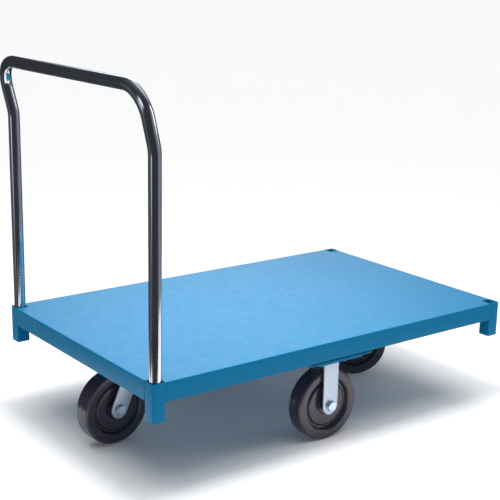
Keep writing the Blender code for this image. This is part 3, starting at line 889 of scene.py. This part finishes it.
def floor_sheet(name, half_x, half_y, centre, turn, height, material):
    form = bmesh.new()
    bmesh.ops.create_grid(form, x_segments=6, y_segments=6, size=1)
    bmesh.ops.scale(form, verts=form.verts, vec=(half_x, half_y, 1))
    mesh = bpy.data.meshes.new(name)
    form.to_mesh(mesh)
    form.free()
    sheet = bpy.data.objects.new(name, mesh)
    bpy.context.scene.collection.objects.link(sheet)
    sheet.location = (centre[0], centre[1], height)
    sheet.rotation_euler = (0, 0, turn)
    mesh.materials.append(material)
    return sheet


def stage():
    """Plain pale floor: a white sweep by the object, and the studio floor past it."""
    pale = Finish("pale_floor", roughness=0.9)
    tone = pale.mix(pale.noise(0.6, 2.0), (0.945, 0.945, 0.95), (0.955, 0.955, 0.96))
    material = pale.finish(Base_Color=tone)
    floor_sheet("sweep", 1.16, 0.93, (-0.08, -0.271), -CAMERA_TURN, 0.0, material)
    beyond = floor_sheet("studio_floor", 40, 40, (0, 0), 0, -0.4 * MM, material)
    beyond.visible_glossy = False


def area_light(name, at, aim, size, power):
    light = bpy.data.lights.new(name, "AREA")
    light.shape = "RECTANGLE"
    light.size, light.size_y = size
    light.energy = power
    lamp = bpy.data.objects.new(name, light)
    bpy.context.scene.collection.objects.link(lamp)
    lamp.location = at
    lamp.rotation_euler = (Vector(aim) - Vector(at)).to_track_quat("-Z", "Y").to_euler()
    lamp.visible_camera = False
    return lamp


class Sky:
    """The studio's walls as reflections see them: soft patches of light on a dim ground."""

    def __init__(self, tree, ground):
        self.tree = tree
        self.way = tree.nodes.new("ShaderNodeTexCoord").outputs["Generated"]
        self.total = ground

    def patch(self, turn, rise, core, reach, bright):
        """Add a patch: degrees right of the camera's aim and above level, full and faded radius."""
        turn, rise = CAMERA_TURN + math.radians(turn), math.radians(rise)
        dot = self.tree.nodes.new("ShaderNodeVectorMath")
        dot.operation = "DOT_PRODUCT"
        self.tree.links.new(self.way, dot.inputs[0])
        dot.inputs[1].default_value = (
            math.sin(turn) * math.cos(rise), math.cos(turn) * math.cos(rise), math.sin(rise))
        fade = self.tree.nodes.new("ShaderNodeMapRange")
        fade.interpolation_type = "SMOOTHSTEP"
        self.tree.links.new(dot.outputs["Value"], fade.inputs["Value"])
        fade.inputs["From Min"].default_value = math.cos(math.radians(reach))
        fade.inputs["From Max"].default_value = math.cos(math.radians(core))
        fade.inputs["To Max"].default_value = bright
        add_up = self.tree.nodes.new("ShaderNodeMath")
        self.tree.links.new(fade.outputs["Result"], add_up.inputs[0])
        if isinstance(self.total, bpy.types.NodeSocket):
            self.tree.links.new(self.total, add_up.inputs[1])
        else:
            add_up.inputs[1].default_value = self.total
        self.total = add_up.outputs["Value"]

    def level_glow(self, above, level):
        """Brightness that is highest round the horizon."""
        split = self.tree.nodes.new("ShaderNodeSeparateXYZ")
        self.tree.links.new(self.way, split.inputs[0])
        height = self.tree.nodes.new("ShaderNodeMath")
        height.operation = "ABSOLUTE"
        self.tree.links.new(split.outputs["Z"], height.inputs[0])
        fade = self.tree.nodes.new("ShaderNodeMapRange")
        self.tree.links.new(height.outputs["Value"], fade.inputs["Value"])
        for socket, value in (("From Min", 0.1), ("From Max", 0.5), ("To Min", level), ("To Max", above)):
            fade.inputs[socket].default_value = value
        return fade.outputs["Result"]

    def pick(self, factor, first, second):
        mix = self.tree.nodes.new("ShaderNodeMix")
        mix.data_type = "RGBA"
        for socket, value in ((0, factor), (6, first), (7, second)):
            if isinstance(value, bpy.types.NodeSocket):
                self.tree.links.new(value, mix.inputs[socket])
            else:
                mix.inputs[socket].default_value = value
        return mix.outputs[2]


def world():
    """White to look at, soft and even for diffuse light, and a dim studio in reflections."""
    made = bpy.data.worlds.new("studio")
    bpy.context.scene.world = made
    made.use_nodes = True
    tree = made.node_tree
    sky = Sky(tree, SKY_GROUND)
    for patch in SKY_PATCHES:
        sky.patch(*patch)
    tinted = tree.nodes.new("ShaderNodeVectorMath")
    tinted.operation = "SCALE"
    tinted.inputs[0].default_value = SKY_TINT
    tree.links.new(sky.total, tinted.inputs["Scale"])
    path = tree.nodes.new("ShaderNodeLightPath").outputs
    seen = sky.pick(path["Is Glossy Ray"], sky.level_glow(0.24, 0.90), tinted.outputs["Vector"])
    seen = sky.pick(path["Is Camera Ray"], seen, (1, 1, 1, 1))
    background = tree.nodes["Background"]
    tree.links.new(seen, background.inputs["Color"])


def lights():
    sun = bpy.data.lights.new("ceiling", "SUN")
    sun.energy = 2.3
    sun.angle = math.radians(60)
    lamp = bpy.data.objects.new("ceiling", sun)
    lamp.visible_glossy = False
    bpy.context.scene.collection.objects.link(lamp)
    overhead = area_light("overhead_box", (-0.12, -0.10, 1.5), (-0.12, -0.10, 0.3), (0.9, 0.9), 25.5)
    overhead.visible_glossy = False
    area_light("right_box", (2.6, -1.6, 1.5), (-0.4, -0.3, 0.5), (0.8, 1.6), 12)


def camera():
    ahead = Vector((math.sin(CAMERA_TURN) * math.cos(CAMERA_DIP),
                    math.cos(CAMERA_TURN) * math.cos(CAMERA_DIP), -math.sin(CAMERA_DIP)))
    level = Vector((math.cos(CAMERA_TURN), -math.sin(CAMERA_TURN), 0))
    over = level.cross(ahead)
    right = math.cos(CAMERA_ROLL) * level + math.sin(CAMERA_ROLL) * over
    up = -math.sin(CAMERA_ROLL) * level + math.cos(CAMERA_ROLL) * over
    data = bpy.data.cameras.new("photo_view")
    data.lens = CAMERA_LENS
    data.sensor_width = 36.0
    data.clip_end = 200
    view = bpy.data.objects.new("photo_view", data)
    bpy.context.scene.collection.objects.link(view)
    turn = Matrix((right, up, -ahead)).transposed().to_4x4()
    view.matrix_world = Matrix.Translation(CAMERA_AT) @ turn
    bpy.context.scene.camera = view


def main():
    deck()
    rails()
    posts()
    post_welds()
    under_frame()
    handle()
    plate_bolts()
    for side in ("near", "far"):
        rigid_caster(side)
    for end in ("handle_end", "front_end"):
        swivel_caster(end)
    stage()
    world()
    lights()
    camera()
    bpy.context.scene.view_settings.view_transform = "Standard"


main()
